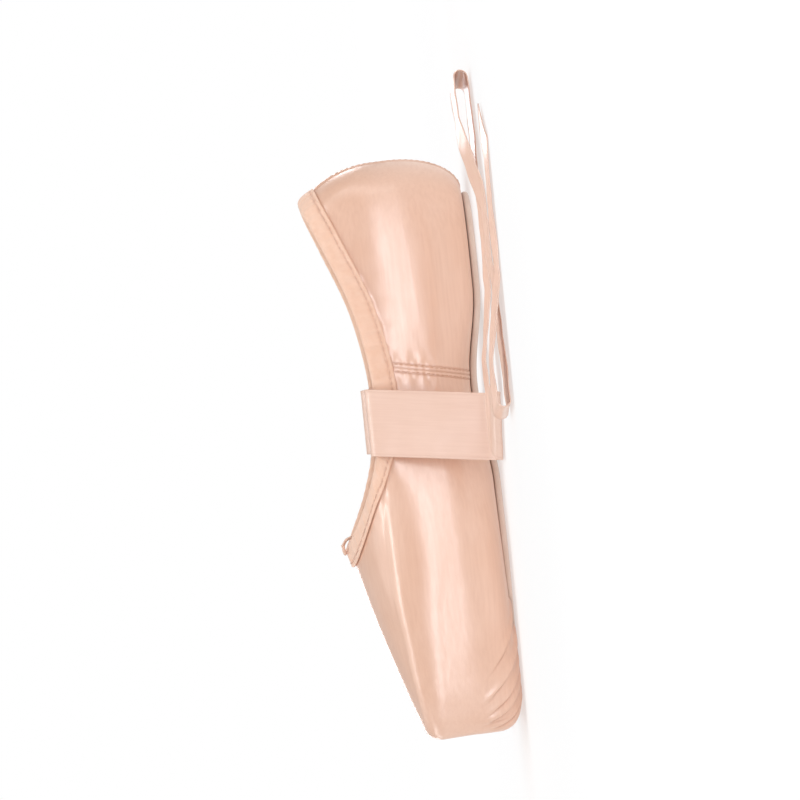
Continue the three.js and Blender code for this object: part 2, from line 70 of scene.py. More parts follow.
# The last: each column has one number for each section of half the shoe, from the heel's back to the toe.
SECTIONS = {
    "wideX": [-0.5, -0.465, -0.382, -0.255, -0.127, -0.018, 0.082, 0.182, 0.282, 0.368, 0.436, 0.4765, 0.4915,
              0.497, 0.4975],
    "wideY": [0, 0.43, 0.628, 0.665, 0.681, 0.779, 0.921, 1, 0.945, 0.855, 0.752, 0.642, 0.56, 0.35, 0],
    "wideZ": [30, 29, 27, 25, 23, 22, 21, 20, 20, 20, 20, 20, 20, 20, 20],
    "soleX": [-0.436, -0.416, -0.359, -0.25, -0.127, -0.018, 0.082, 0.164, 0.245, 0.305, 0.341, 0.361, 0.368,
              0.372, 0.373],
    "soleY": [0, 0.267, 0.419, 0.395, 0.307, 0.36, 0.477, 0.547, 0.5, 0.384, 0.256, 0.156, 0.1, 0.05, 0],
    "collarX": [-0.441, -0.417, -0.361, -0.25, -0.127, -0.047, 0.014, 0.069, 0.109, 0.134, 0.147, 0.153,
                0.156, 0.158, 0.1585],
    "collarY": [0, 0.3, 0.49, 0.6, 0.68, 0.763, 0.76, 0.651, 0.5, 0.36, 0.251, 0.17, 0.112, 0.058, 0],
    "collarZ": [HEEL_HEIGHT / INSTEP_HEIGHT, 1.057, 0.974, 0.822, 0.74, 0.745, 0.776, 0.84, 0.905, 0.953,
                0.977, 0.989, 0.996, 0.999, 1],
    "kneeIn": [0.5, 0.5, 0.5, 0.4, -0.3, 0.3, 0.4, 0.5, 0.4, 0.3, 0, -0.5, -0.8, -1, -1],
    "kneeZ": [49, 48, 45, 38, 34, 35, 38.5, 41.8, 42.4, 40.2, 38.4, 37.1, 36.7, 36.8, 36.9],
    "round": [13, 12, 11, 8, 7, 8, 12, 15, 13, 10.5, 8.5, 7, 6.2, 6, 6],
    "crown": [0.8, 0.8, 0.6, 0.5, 0.3, 0.4, 0.6, 1, 1.2, 1.3, 1.3, 1.3, 1.3, 1.3, 1.3],
    "square": [2.1, 2.1, 2.1, 2.1, 2, 2, 2.2, 2.4, 2.6, 3, 3.3, 3.6, 3.8, 4, 4],
    "belly": [0, 0, 0, 0, 0, 0, 0.1, 0.4, 0.9, 1.4, 1.7, 1.8, 1.9, 1.9, 1.9],
    "wall": [2, 2, 2, 1.8, 1.8, 1.9, 2.3, 2.8, 3.1, 3.4, 3.8, 4.2, 4.6, 4.8, 5],
}
ACROSS = ("wideY", "soleY", "collarY")
LAST = 14
AROUND = 2 * LAST
AT_SOLE, AT_WIDE, AT_TURN, AT_TOP, AT_COLLAR = 1, 2, 3, 4, 5
BELLY_FROM = 0.16


# ---- The skin of the upper, as a function of ring and v ----


def smooth(x, low, high):
    u = np.clip((x - low) / (high - low), 0, 1)
    return u * u * (3 - 2 * u)


def unit(a):
    return a / np.maximum(np.linalg.norm(a, axis=-1, keepdims=True), 1e-12)


def mix(a, b, share):
    return a + (b - a) * np.asarray(share)[..., None]


def arc_length(p, axis=0):
    """The length of a line up to each of its points."""
    steps = np.linalg.norm(np.diff(p, axis=axis), axis=-1)
    return np.insert(np.cumsum(steps, axis), 0, 0, axis)


def bell(d, width, power=2):
    """1 where d is 0, and less to both sides."""
    return np.exp(-((d / width) ** power))


def ripple(x, pitch, phase=0):
    return np.sin(x * 2 * math.pi / pitch + phase)


def with_mirrors(column, flips):
    sign = -1 if flips else 1
    return np.array([sign * column[1], *column, sign * column[-2]], float)


EXTENDED = {name: with_mirrors(column, name in ACROSS) for name, column in SECTIONS.items()}
STEP = np.hypot(np.diff(EXTENDED["wideX"]) * LENGTH, np.diff(EXTENDED["wideY"]) * BALL_WIDTH / 2)


def columns_at(ring):
    """Every column at these stations, on smooth curves through the sections."""
    turned = np.asarray(ring, float) % AROUND
    side = np.where(turned > LAST, -1.0, 1.0)
    t = np.where(turned > LAST, AROUND - turned, turned)
    i = np.minimum(np.floor(t).astype(int), LAST - 1)
    u = t - i
    before, here, after = STEP[i], STEP[i + 1], STEP[i + 2]
    made = {}
    for name, column in EXTENDED.items():
        a, b, c, d = (column[i + k] for k in range(4))
        slopes = (b - a) / before, (c - b) / here, (d - c) / after
        leaving = (slopes[1] * before + slopes[0] * here) / (here + before)
        arriving = (slopes[2] * here + slopes[1] * after) / (after + here)
        made[name] = (
            b * (1 + 2 * u) * (1 - u) ** 2
            + leaving * here * u * (1 - u) ** 2
            + c * (3 - 2 * u) * u * u
            + arriving * here * (u - 1) * u * u
        )
    for name in ACROSS:
        made[name] = made[name] * side
    return made


def arch_lift(x):
    along = np.clip((x - ARCH_FROM) / (ARCH_TO - ARCH_FROM), 0, 1)
    return ARCH_LIFT * np.sin(np.pi * along) ** 2


def points(x, y, z):
    return np.stack(np.broadcast_arrays(x, y, z), -1).astype(float)


def section_at(ring):
    c = columns_at(ring)
    half = BALL_WIDTH / 2
    wide = points(c["wideX"] * LENGTH, c["wideY"] * half, c["wideZ"])
    sole = points(c["soleX"] * LENGTH, c["soleY"] * half, 0)
    sole[..., 2] = arch_lift(sole[..., 0]) + SOLE_THICKNESS + GAP
    collar = points(c["collarX"] * LENGTH, c["collarY"] * half, c["collarZ"] * INSTEP_HEIGHT)
    inward = unit((sole - wide) * [1, 1, 0])
    middle = (SECTIONS["soleX"][0] + SECTIONS["soleX"][-1]) / 2 * LENGTH
    hole = points(middle + (sole[..., 0] - middle) * HOLE_LONG, sole[..., 1] * HOLE_WIDE, 0)
    hole[..., 2] = arch_lift(hole[..., 0]) + SOLE_THICKNESS + GAP
    knee = wide + inward * c["kneeIn"][..., None]
    knee[..., 2] = c["kneeZ"]
    to_wide = np.linalg.norm(wide - knee, axis=-1)
    to_collar = np.linalg.norm(collar - knee, axis=-1)
    reach = np.minimum(c["round"], 0.9 * np.minimum(to_wide, to_collar))[..., None]
    turn_from = knee + unit(wide - knee) * reach
    turn_to = knee + unit(collar - knee) * reach
    return {**c, "wide": wide, "sole": sole, "collar": collar, "hole": hole, "knee": knee,
            "turn_from": turn_from, "turn_to": turn_to}


def skin(ring, v):
    """The upper's outer face in mm. ring goes round the shoe from the heel's back, v up from underneath."""
    ring, v = np.broadcast_arrays(np.asarray(ring, float), np.asarray(v, float))
    s = section_at(ring)
    angle = np.clip(v - AT_SOLE, 0, 1) * math.pi / 2
    sin, cos = np.sin(angle), np.cos(angle)
    radius = (sin ** s["square"] + cos ** s["square"]) ** (-1 / s["square"])
    out, up = radius * sin, 1 - radius * cos
    sag = s["belly"] * smooth(out, 0, BELLY_FROM) * (1 - up)
    low = mix(s["sole"], s["wide"], out)
    low[..., 2] = s["sole"][..., 2] + (s["wide"][..., 2] - s["sole"][..., 2]) * up - sag
    flange = mix(s["hole"], s["sole"], np.clip(v, 0, 1))
    side = mix(s["wide"], s["turn_from"], np.clip(v - AT_WIDE, 0, 1))
    u = np.clip(v - AT_TURN, 0, 1)
    turn = mix(mix(s["turn_from"], s["knee"], u), mix(s["knee"], s["turn_to"], u), u)
    u = np.clip(v - AT_TOP, 0, 1)
    top = mix(s["turn_to"], s["collar"], u)
    top[..., 2] += s["crown"] * 4 * u * (1 - u)
    below = [v[..., None] < limit for limit in (AT_SOLE, AT_WIDE, AT_TURN, AT_TOP)]
    return np.select(below, [flange, low, side, turn], top)


NEAR = 0.02  # the step in ring and v that directions are measured over


def normal_at(ring, v):
    around = skin(ring + NEAR, v) - skin(ring - NEAR, v)
    up = skin(ring, np.minimum(v + NEAR, AT_COLLAR)) - skin(ring, np.maximum(v - NEAR, 0))
    return unit(np.cross(up, around))


def thickness_at(ring, v):
    full = columns_at(ring)["wall"]
    low = v < AT_WIDE
    edge = np.where(low, FLANGE_WALL, COLLAR_WALL)
    share = np.where(low, smooth(v, AT_SOLE, AT_SOLE + 0.5), 1 - smooth(v, AT_TOP, AT_COLLAR))
    return edge + (full - edge) * share


V_STEP = 0.125
V_DOWN = AT_COLLAR - np.arange(0, 3 + 1e-9, V_STEP)


def v_below(ring, below):
    """The v of the points these lengths down the wall from the collar's edge: one row for each station."""
    down = arc_length(skin(np.reshape(ring, (-1, 1)), V_DOWN), 1)
    return np.array([np.interp(np.atleast_1d(below), lengths, V_DOWN) for lengths in down])


def up_at_collar(ring):
    return unit(skin(ring, AT_COLLAR) - skin(ring, AT_COLLAR - V_STEP))


def by_collar(ring, below, out):
    """Points below mm down the wall (above its edge where negative) and out mm off its outer face, or where
    out is negative, that far inside its inner face. A row for each station."""
    v = v_below(ring, np.maximum(below, 0))
    ring = ring[:, None]
    off = np.where(np.less(out, 0), out - thickness_at(ring, v), out)
    p = skin(ring, v) + normal_at(ring, v) * off[..., None]
    return p + up_at_collar(ring) * np.maximum(np.negative(below), 0)[..., None]


# ---- Meshes ----


def placed(name, data):
    thing = bpy.data.objects.new(name, data)
    bpy.context.scene.collection.objects.link(thing)
    return thing


def facing(place, across, up, back):
    """The matrix of a camera or light at this place, with these axes."""
    return Matrix.Translation(place) @ Matrix((across, up, back)).transposed().to_4x4()


def mesh_piece(name, verts, faces, uvs=None, shades=None, slots=None, girth=None, merge=0.0):
    """A smooth mesh in metres, its faces outwards. uvs holds a pair in mm for each vertex, shades a number
    for each. On a ring, girth is its length in mm, and the faces that close it have the first vertices' u
    after the last's. Points nearer than merge mm are joined."""
    mesh = bpy.data.meshes.new(name)
    mesh.from_pydata((np.asarray(verts) * MM).tolist(), [], faces)
    mesh.polygons.foreach_set("use_smooth", np.ones(len(mesh.polygons), bool))
    if uvs is not None:
        layer = mesh.uv_layers.new(name="cloth")
        corners = np.zeros(len(mesh.loops), np.int32)
        mesh.loops.foreach_get("vertex_index", corners)
        at_corners = np.asarray(uvs, np.float32)[corners]
        if girth:
            u = at_corners[:, 0].reshape(-1, 4)
            u += girth * (u < u.max(1, keepdims=True) - girth / 2)
        layer.uv.foreach_set("vector", at_corners.ravel())
    for key, values in (shades or {}).items():
        attribute = mesh.attributes.new(key, "FLOAT", "POINT")
        attribute.data.foreach_set("value", np.asarray(values, np.float32).ravel())
    if slots is not None:
        mesh.polygons.foreach_set("material_index", np.asarray(slots, np.int32))
    bm = bmesh.new()
    bm.from_mesh(mesh)
    if merge:
        bmesh.ops.remove_doubles(bm, verts=bm.verts, dist=merge * MM)
    bmesh.ops.recalc_face_normals(bm, faces=bm.faces)
    bm.to_mesh(mesh)
    bm.free()
    mesh.update()
    return placed(name, mesh)


def grid_faces(n, m, ring=False, loop=False):
    """Quads of an n by m grid of points, closed along n where ring is set and along m where loop is."""
    i, j = np.meshgrid(np.arange(n if ring else n - 1), np.arange(m if loop else m - 1), indexing="ij")
    i, j = i.ravel(), j.ravel()
    i2, j2 = (i + 1) % n, (j + 1) % m
    return np.stack([i * m + j, i2 * m + j, i2 * m + j2, i * m + j2], 1)


def caps(n, m):
    """Strips that close the two ends of a tube of n sections of m points, where m is even."""
    return [[base + j, base + j + 1, base + m - 2 - j, base + m - 1 - j]
            for base in (0, (n - 1) * m) for j in range(m // 2 - 1)]


def lofted(name, material, loops, uv, shades=None, ring=False, loop=True, **more):
    """A piece from a grid of points, a row of them for each section, that is closed along the sections where
    ring is set and round each where loop is. A tube that isn't a ring has its ends closed."""
    n, m = loops.shape[:2]
    faces = grid_faces(n, m, ring, loop).tolist() + ([] if ring else caps(n, m))
    piece = mesh_piece(name, loops.reshape(-1, 3), faces, np.reshape(uv, (-1, 2)), shades, **more)
    piece.data.materials.append(material)
    return piece


# ---- Materials ----


def linear(*colour):
    """A light colour given in sRGB bytes, as linear values."""
    return (*(((c / 255 + 0.055) / 1.055) ** 2.4 for c in colour), 1)


class Nodes:
    """Short calls for building the node tree of a new material or world."""

    def __init__(self, name, kind=bpy.data.materials, shader="Principled BSDF"):
        self.made = kind.new(name)
        self.made.use_nodes = True
        self.tree = self.made.node_tree
        self.shader = self.tree.nodes[shader]

    def put(self, socket, value):
        if isinstance(value, bpy.types.NodeSocket):
            self.tree.links.new(value, socket)
        else:
            socket.default_value = value

    def add(self, kind, values=(), **settings):
        """A node with these settings. values holds inputs by name, or is a row of the first inputs."""
        node = self.tree.nodes.new(kind)
        for key, value in settings.items():
            setattr(node, key, value)
        for key, value in values.items() if isinstance(values, dict) else enumerate(values):
            self.put(node.inputs[key], value)
        return node

    def set(self, **values):
        for name, value in values.items():
            self.put(self.shader.inputs[name.replace("_", " ")], value)

    def math(self, operation, *values):
        return self.add("ShaderNodeMath", values, operation=operation).outputs[0]

    def times(self, a, b):
        return self.math("MULTIPLY", a, b)

    def plus(self, a, b):
        return self.math("ADD", a, b)

    def rest(self, a):
        """What a lacks of 1."""
        return self.math("SUBTRACT", 1.0, a)

    def between(self, share, a, b):
        return self.plus(self.times(a, self.rest(share)), self.times(b, share))

    def attribute(self, name):
        return self.add("ShaderNodeAttribute", attribute_name=name).outputs["Fac"]

    def cloth(self):
        """The strip's or piece's own coordinates in mm."""
        return self.add("ShaderNodeUVMap", uv_map="cloth").outputs["UV"]

    def place(self, scale=1 / MM):
        """The object's coordinates, in mm, or in metres where scale is 1."""
        inputs = {0: self.add("ShaderNodeTexCoord").outputs["Object"], "Scale": scale}
        return self.add("ShaderNodeVectorMath", inputs, operation="SCALE").outputs[0]

    def split(self, vector):
        return self.add("ShaderNodeSeparateXYZ", [vector]).outputs

    def stretch(self, vector, *scales):
        return self.add("ShaderNodeVectorMath", [vector, scales], operation="MULTIPLY").outputs[0]

    def noise(self, vector, scale, detail, roughness):
        inputs = {"Vector": vector, "Scale": scale, "Detail": detail, "Roughness": roughness}
        return self.add("ShaderNodeTexNoise", inputs).outputs["Fac"]

    def span(self, value, low, high, to_low=0.0, to_high=1.0):
        return self.add("ShaderNodeMapRange", [value, low, high, to_low, to_high]).outputs[0]

    def blend(self, share, a, b):
        node = self.add("ShaderNodeMix", [share], data_type="RGBA")
        colours = [socket for socket in node.inputs if socket.type == "RGBA"]
        self.put(colours[0], a)
        self.put(colours[1], b)
        return next(socket for socket in node.outputs if socket.type == "RGBA")

    def dye_with_painted_shade(self, patches, dark, colour, shade, light):
        """Cloth lighter in patches, darker by dark, and with painted shade where the crease attribute is set.
        """
        tone = self.blend(patches, linear(*colour), linear(*light))
        tone = self.blend(dark, tone, linear(*shade))
        # painted shade: the crease attribute gives creases, grooves and gaps the shade's colour; on the satin
        # upper it also holds wear
        return self.blend(self.attribute("crease"), tone, linear(*shade))

    def bump(self, height, depth, strength, over=None):
        """height from 0 to 1 stands for depth mm."""
        inputs = {"Strength": strength, "Distance": depth * MM, "Height": height}
        if over:
            inputs["Normal"] = over
        return self.add("ShaderNodeBump", inputs).outputs[0]

    def matt(self, tone, uneven, rough, specular, sheen, sheen_roughness, normal):
        """The material of a matt cloth, whose roughness goes over the range rough with uneven."""
        self.set(Base_Color=tone, Roughness=self.span(uneven, 0.3, 0.7, *rough), Specular_IOR_Level=specular,
                 Sheen_Weight=sheen, Sheen_Roughness=sheen_roughness, Normal=normal)
        return self.made

    def wave(self, value, pitch):
        """A wave from 0 to 1 of this pitch in mm."""
        turned = self.math("MULTIPLY_ADD", value, 2 * math.pi / pitch, 0.0)
        return self.math("MULTIPLY_ADD", self.math("SINE", turned), 0.5, 0.5)


SATIN_PITCH = 0.19  # mm from one float to the next
SATIN_TIE = 1.5  # mm between the points where a float is tied down
LENGTHWISE, CROSSWISE = (0.05, 1.0, 1.0), (1.0, 0.05, 1.0)  # how streaks are stretched


def satin_weave(n, across, along):
    """Satin's surface: smooth floats that run along, side by side across, tied down at scattered points."""
    yarn = n.wave(across, SATIN_PITCH)
    row = n.math("FLOOR", n.math("DIVIDE", across, SATIN_PITCH))
    shift = n.times(row, 0.41 * SATIN_TIE)
    tie = n.math("POWER", n.wave(n.plus(along, shift), SATIN_TIE), 8.0)
    return n.math("SUBTRACT", yarn, n.times(tie, 0.6))


def upper_cloth(n):
    """The satin as it is lasted: lengthwise, or crosswise where it faces the heel or the toe."""
    place = n.place()
    x, y, z = n.split(place)
    facing = n.split(n.add("ShaderNodeNewGeometry").outputs["Normal"])
    flat = n.span(n.math("ABSOLUTE", facing[2]), 0.55, 0.85)
    end_on = n.span(n.math("ABSOLUTE", facing[0]), 0.55, 0.8)
    sides = n.between(flat, satin_weave(n, z, x), satin_weave(n, y, x))
    weave = n.between(end_on, sides, satin_weave(n, y, z))
    ways = (n.stretch(place, *way) for way in (LENGTHWISE, CROSSWISE))
    streaks = n.between(end_on, *(n.noise(way, 0.9, 3.0, 0.6) for way in ways))
    tangent = n.add("ShaderNodeTangent", direction_type="RADIAL", axis="X").outputs[0]
    return place, weave, streaks, tangent, 0.25


def ribbon_cloth(n):
    """The satin as it is woven along a strip."""
    place = n.cloth()
    u, v, _ = n.split(place)
    streaks = n.noise(n.stretch(place, *LENGTHWISE), 1.1, 3.0, 0.6)
    tangent = n.add("ShaderNodeTangent", direction_type="UV_MAP", uv_map="cloth").outputs[0]
    return place, satin_weave(n, v, u), streaks, tangent, 0.0


def satin(name, cloth, *colours):
    """Shiny satin, its highlights drawn out across its floats. The roughness stays over 0.28: below that the
    render's noise filter takes the cloth for a mirror, and leaves flecks."""
    n = Nodes(name)
    place, weave, streaks, tangent, turn = cloth(n)
    mottle = n.noise(place, 0.035, 3.0, 0.55)
    tone = n.dye_with_painted_shade(n.span(mottle, 0.3, 0.7), n.times(n.span(streaks, 0.35, 0.75), 0.2), *colours)
    rough = n.plus(n.span(streaks, 0.3, 0.7, 0.29, 0.34), n.times(n.attribute("crease"), 0.2))
    n.set(Base_Color=tone, Roughness=rough, Tangent=tangent, Anisotropic=0.65, Anisotropic_Rotation=turn,
          IOR=1.75, Specular_IOR_Level=0.8, Sheen_Weight=0.1, Sheen_Roughness=0.35,
          Sheen_Tint=linear(255, 232, 222))
    slow = n.bump(n.noise(n.stretch(place, 0.35, 1.0, 1.0), 0.22, 2.0, 0.5), 0.22, 0.3)
    slub = n.bump(streaks, 0.02, 0.4, over=slow)
    n.set(Normal=n.bump(weave, 0.008, 0.2, over=slub))
    return n.made


def twill_tape(name, *colours):
    n = Nodes(name)
    u, v, _ = n.split(n.cloth())
    rib = n.wave(n.plus(u, n.times(v, 1.3)), 0.62)
    yarn = n.wave(n.math("SUBTRACT", u, v), 0.31)
    weave = n.plus(n.times(rib, 0.7), n.times(yarn, 0.3))
    mottle = n.noise(n.cloth(), 0.25, 4.0, 0.6)
    tone = n.dye_with_painted_shade(n.span(mottle, 0.3, 0.7), n.times(n.rest(weave), 0.22), *colours)
    normal = n.bump(weave, 0.09, 0.6, over=n.bump(mottle, 0.25, 0.3))
    return n.matt(tone, mottle, (0.62, 0.78), 0.3, 0.25, 0.5, normal)


def suede(name, colour, shade, light):
    n = Nodes(name)
    place = n.place()
    nap = n.noise(n.stretch(place, 0.6, 1.0, 1.0), 3.2, 6.0, 0.7)
    patch = n.noise(n.stretch(place, 0.5, 1.0, 1.0), 0.11, 3.0, 0.6)
    dark = n.times(n.span(nap, 0.3, 0.7, 1.0, 0.0), 0.3)
    tone = n.dye_with_painted_shade(n.span(patch, 0.35, 0.65), dark, colour, shade, light)
    tone = n.blend(n.attribute("edge"), tone, linear(*light))
    normal = n.bump(nap, 0.22, 0.6, over=n.bump(patch, 0.6, 0.4))
    return n.matt(tone, nap, (0.82, 0.95), 0.2, 0.35, 0.6, normal)


def canvas(name, pitch, *colours):
    """Plain-woven cotton: warp and weft go over and under each other."""
    n = Nodes(name)
    u, v, _ = n.split(n.cloth())
    turns = (n.math("SINE", n.times(way, math.pi / pitch)) for way in (u, v))
    over = n.span(n.times(*turns), -0.2, 0.2)
    weave = n.between(over, n.wave(v, pitch), n.wave(u, pitch))
    slub = n.noise(n.cloth(), 0.5, 4.0, 0.65)
    tone = n.dye_with_painted_shade(n.span(slub, 0.3, 0.7), n.times(n.rest(weave), 0.35), *colours)
    normal = n.bump(weave, 0.12, 0.7, over=n.bump(slub, 0.3, 0.3))
    return n.matt(tone, slub, (0.82, 0.95), 0.25, 0.2, 0.5, normal)


def thread(name, colour, shade):
    """Twisted sewing thread or cord."""
    n = Nodes(name)
    u, v, _ = n.split(n.cloth())
    ply = n.wave(n.plus(u, v), 0.6)
    fuzz = n.noise(n.cloth(), 2.0, 3.0, 0.6)
    tone = n.blend(n.times(n.rest(ply), 0.5), linear(*colour), linear(*shade))
    return n.matt(tone, fuzz, (0.5, 0.7), 0.4, 0.2, 0.4, n.bump(ply, 0.1, 0.7))


# Each has its plain colour, its shade and, unless it is a thread, its light.
SATIN = satin("satin", upper_cloth, (224, 179, 152), (192, 136, 105), (230, 189, 165))
RIBBON_SATIN = satin("ribbon_satin", ribbon_cloth, (229, 192, 171), (204, 158, 132), (235, 201, 182))
TAPE = twill_tape("binding_tape", (238, 197, 171), (206, 153, 122), (243, 208, 186))
SUEDE = suede("sole_suede", (213, 187, 169), (168, 134, 111), (231, 211, 197))
LINING = canvas("lining_canvas", 0.5, (251, 236, 225), (226, 194, 176), (253, 243, 235))
INSOLE = canvas("insole_canvas", 0.6, (244, 225, 208), (210, 180, 156), (250, 235, 221))
THREAD = thread("thread", (240, 205, 184), (190, 136, 106))
SEAM_THREAD = thread("seam_thread", (214, 164, 134), (168, 114, 84))
CORD = thread("cord_cotton", (244, 209, 188), (206, 158, 130))


# ---- Camera ----

CAMERA_DISTANCE = 1.45  # m
CAMERA_ABOVE = 1.8  # degrees over the horizon
CAMERA_ROLL = -6.0  # degrees that the toe swings out from straight down
CAMERA_AIM = (-0.019, 0.0, 0.034)
FIELD = 0.305  # m across the picture at the shoe
SENSOR = 36


def make_camera():
    data = bpy.data.cameras.new("camera")
    rise, roll = math.radians(CAMERA_ABOVE), math.radians(CAMERA_ROLL)
    back = Vector((0, math.cos(rise), math.sin(rise)))
    level = Vector((-1, 0, 0))
    up = level * math.cos(roll) + back.cross(level) * math.sin(roll)
    camera = placed("camera", data)
    camera.matrix_world = facing(Vector(CAMERA_AIM) + back * CAMERA_DISTANCE, up.cross(back), up, back)
    data.sensor_width = SENSOR
    data.lens = SENSOR * CAMERA_DISTANCE / FIELD
    bpy.context.scene.camera = camera


make_camera()


# ---- Ribbons and drawstring ----

RIBBON_START = (-16, 27.4, 21.5)
RIBBON_PLAN = RIBBON_LEAN = math.radians(10)  # how its start is turned, seen from above and from the side
# The creases of each strip: mm along it, skew and turn in degrees, and the turn's radius in mm.
TO_THE_FLOOR = [(23.3, 10, 166, 3.4), (74.2, 10, -76, 7)]
LEFT_FOLDS = TO_THE_FLOOR + [
    (106, -46, -180, 2), (134, 0, -9, 14), (159.5, 0, 9, 14), (234, -13, 180, 2.6), (260, 0, 11, 14),
    (287, 0, -11, 14), (370, -15, -180, 2.4), (394, 0, -10, 14), (422.5, 0, 10, 14),
]
RIGHT_FOLDS = TO_THE_FLOOR + [
    (102, 43, -180, 2.2), (130, 0, -9, 14), (158, 0, 9, 14), (224, 12, 180, 2.4), (250, 0, 10, 14),
    (278, 0, -10, 14), (384, 17, -180, 2.4), (408, 0, -10, 14), (436, 0, 10, 14),
]


def on_ribbon(folds, s, w):
    """The points s mm along the strip and w mm across it, and the direction its face has there."""
    across = np.array([math.cos(RIBBON_PLAN), math.sin(RIBBON_PLAN), 0])
    face = np.cross([0, 0, 1], across)
    lean = np.array(Matrix.Rotation(RIBBON_LEAN, 3, Vector(face)))
    start = (lean @ [0, 0, 1], lean @ across, face, RIBBON_START)
    along, across, face, origin = (np.tile(row, (len(s), 1)) for row in start)
    going = np.ones(len(s), bool)
    for at, skew, turn, radius in folds:
        sin, cos = math.sin(math.radians(skew)), math.cos(math.radians(skew))
        past = (s - at) * cos - w * sin
        going = going & (past > 0)
        full = math.radians(abs(turn))
        angle = np.where(going, np.minimum(full, past / radius), 0)[:, None]
        side = math.copysign(1, turn)
        crease = along * sin + across * cos
        ahead = along * cos - across * sin
        sine, cosine = np.sin(angle), np.cos(angle)
        rolled = origin + along * at + radius * (ahead * sine + face * side * (1 - cosine))
        ahead, face = ahead * cosine + face * side * sine, face * cosine - ahead * side * sine
        along = ahead * cos + crease * sin
        across = crease * cos - ahead * sin
        origin = rolled - ahead * radius * angle - along * at
        going = going & (angle[:, 0] > full - 1e-9)
    return origin + along * s[:, None] + across * w[:, None], face


RIBBON_CLOTH = 0.34  # thickness
SELVEDGE = 0.9  # width of the thicker edge
RIBBON_END = RIBBON_LENGTH - 3  # the middle of the cut end
CUT_SLANT = 0.42  # mm that the cut end runs on for each mm across
CUT_FROM = RIBBON_LENGTH - 60
RIBBON_WAVES = ((0.16, 31, 0.1), (0.1, 17, -0.14), (0.06, 9.5, 0.2))  # height, pitch and lean


def make_ribbon(name, folds, side, node, seed):
    half = RIBBON_WIDTH / 2
    inner = SELVEDGE + 0.35
    edge = half - np.array([0, 0.18, 0.45, SELVEDGE, inner])
    across = np.concatenate([-edge, np.linspace(2.2 - half, half - 2.2, 15), edge[::-1]])
    s, w = np.meshgrid(np.linspace(0, RIBBON_END, 430), across, indexing="ij")
    s = s + smooth(s, CUT_FROM, RIBBON_LENGTH) * w * CUT_SLANT
    point, face = on_ribbon(folds, s.ravel(), w.ravel())
    point, face = point.reshape(*s.shape, 3), face.reshape(*s.shape, 3)
    rng = np.random.default_rng(seed)
    waves = sum(tall * ripple(s, pitch, w * lean + rng.uniform(0, 6.3)) for tall, pitch, lean in RIBBON_WAVES)
    curl = 0.22 * (np.abs(w) / half) ** 6 * np.sin(s / 8.5 + np.sign(w) * 1.3)
    lift = (waves * 0.8 + curl) * smooth(s, 26, 50)
    inset = half - np.abs(w)
    rounded = smooth(np.minimum(inset, inner) / inner, 0, 0.35)
    thick = RIBBON_CLOTH / 2 * np.minimum(1, 0.35 + 0.65 * rounded) + 0.1 * bell(inset - 0.45, 0.3)
    flip = np.array([1, side, 1])
    top, bottom = (point + face * (lift + off)[..., None] for off in (thick, -thick))
    loops = np.concatenate([top, bottom[:, ::-1]], 1) * flip
    uv = np.concatenate([np.stack([s, w], -1), np.stack([s, w + 40], -1)[:, ::-1]], 1)
    # painted shade at the foot of each selvedge's ridge, carried by the crease attribute
    shade = 0.45 * bell(inset - SELVEDGE - 0.1, 0.16)
    shade = np.concatenate([shade, shade[:, ::-1]], 1)
    piece = lofted(name, RIBBON_SATIN, loops, uv, {"crease": shade})
    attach(piece, "root")
    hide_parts(node)


make_ribbon("satin_ribbon_left", LEFT_FOLDS, 1, "ribbon_left", 5)
make_ribbon("satin_ribbon_right", RIGHT_FOLDS, -1, "ribbon_right", 9)

# The drawstring's route at the throat: mm down the vamp, across to the shoe's left, out from the binding.
DRAWSTRING = [
    (16, -4.4, -8.2), (11.5, -4, -7.4), (7, -3.5, -6.6), (3, -3, -6), (-0.6, -2.6, -5.4),
    (-2.9, -2.2, -3.7), (-3.2, -1.9, -1.5), (-1.8, -1.5, 0.6), (0.2, -0.8, 1.3), (1.7, 0.7, 1.3),
    (1.5, 2.7, 1.2), (0.5, 4.6, 1.2), (-0.7, 6.5, 1.2), (-1.9, 8.3, 1.2),
]


def smooth_curve(knots, per_span):
    """A Catmull-Rom curve through the knots."""
    p = np.concatenate([[2 * knots[0] - knots[1]], knots, [2 * knots[-1] - knots[-2]]])
    u = np.arange(per_span)[:, None] / per_span
    spans = [
        0.5 * (2 * b + (c - a) * u + (2 * a - 5 * b + 4 * c - d) * u**2 + (3 * b - a - 3 * c + d) * u**3)
        for a, b, c, d in zip(p, p[1:], p[2:], p[3:])
    ]
    return np.concatenate([*spans, [knots[-1]]])


def cross_directions(path):
    """Two steady directions across a path, at each of its points."""
    tangent = unit(np.gradient(path, axis=0))
    side = unit(np.cross(tangent[0], [0.3, 0.2, 1]))
    sides = []
    for t in tangent:
        side = unit(side - t * (side @ t))
        sides.append(side)
    return np.array(sides), np.cross(tangent, sides)


def make_drawstring():
    edge, up = skin(LAST, AT_COLLAR), up_at_collar(LAST)
    out = np.array([up[2], 0, -up[0]])
    face = GAP + BINDING_TAPE
    knots = [edge - up * d + out * (face + o) + [0, a, 0] for d, a, o in DRAWSTRING]
    path = smooth_curve(np.array(knots), 14)
    side, up = cross_directions(path)
    along = arc_length(path)
    end = along[-1]
    s, a = np.meshgrid(along, np.linspace(0, 2 * math.pi, 20, endpoint=False), indexing="ij")
    # six plaited strands, three each way round, which fray at the end
    plait = np.maximum(np.sin(3 * a + s * 2.6), np.sin(3 * a - s * 2.6))
    frayed = 1 + 0.25 * smooth(s, end - 1.6, end) * np.sin(5 * a) - 0.25 * smooth(s, end - 0.4, end)
    radius = CORD_RADIUS * (0.9 + 0.12 * plait) * frayed
    spoke = side[:, None] * np.cos(a)[..., None] + up[:, None] * np.sin(a)[..., None]
    loops = path[:, None] + spoke * radius[..., None]
    piece = lofted("cotton_drawstring", CORD, loops, np.stack([s, a * CORD_RADIUS], -1))
    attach(piece, "root")
    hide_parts("drawstring")


make_drawstring()


# ---- The upper ----

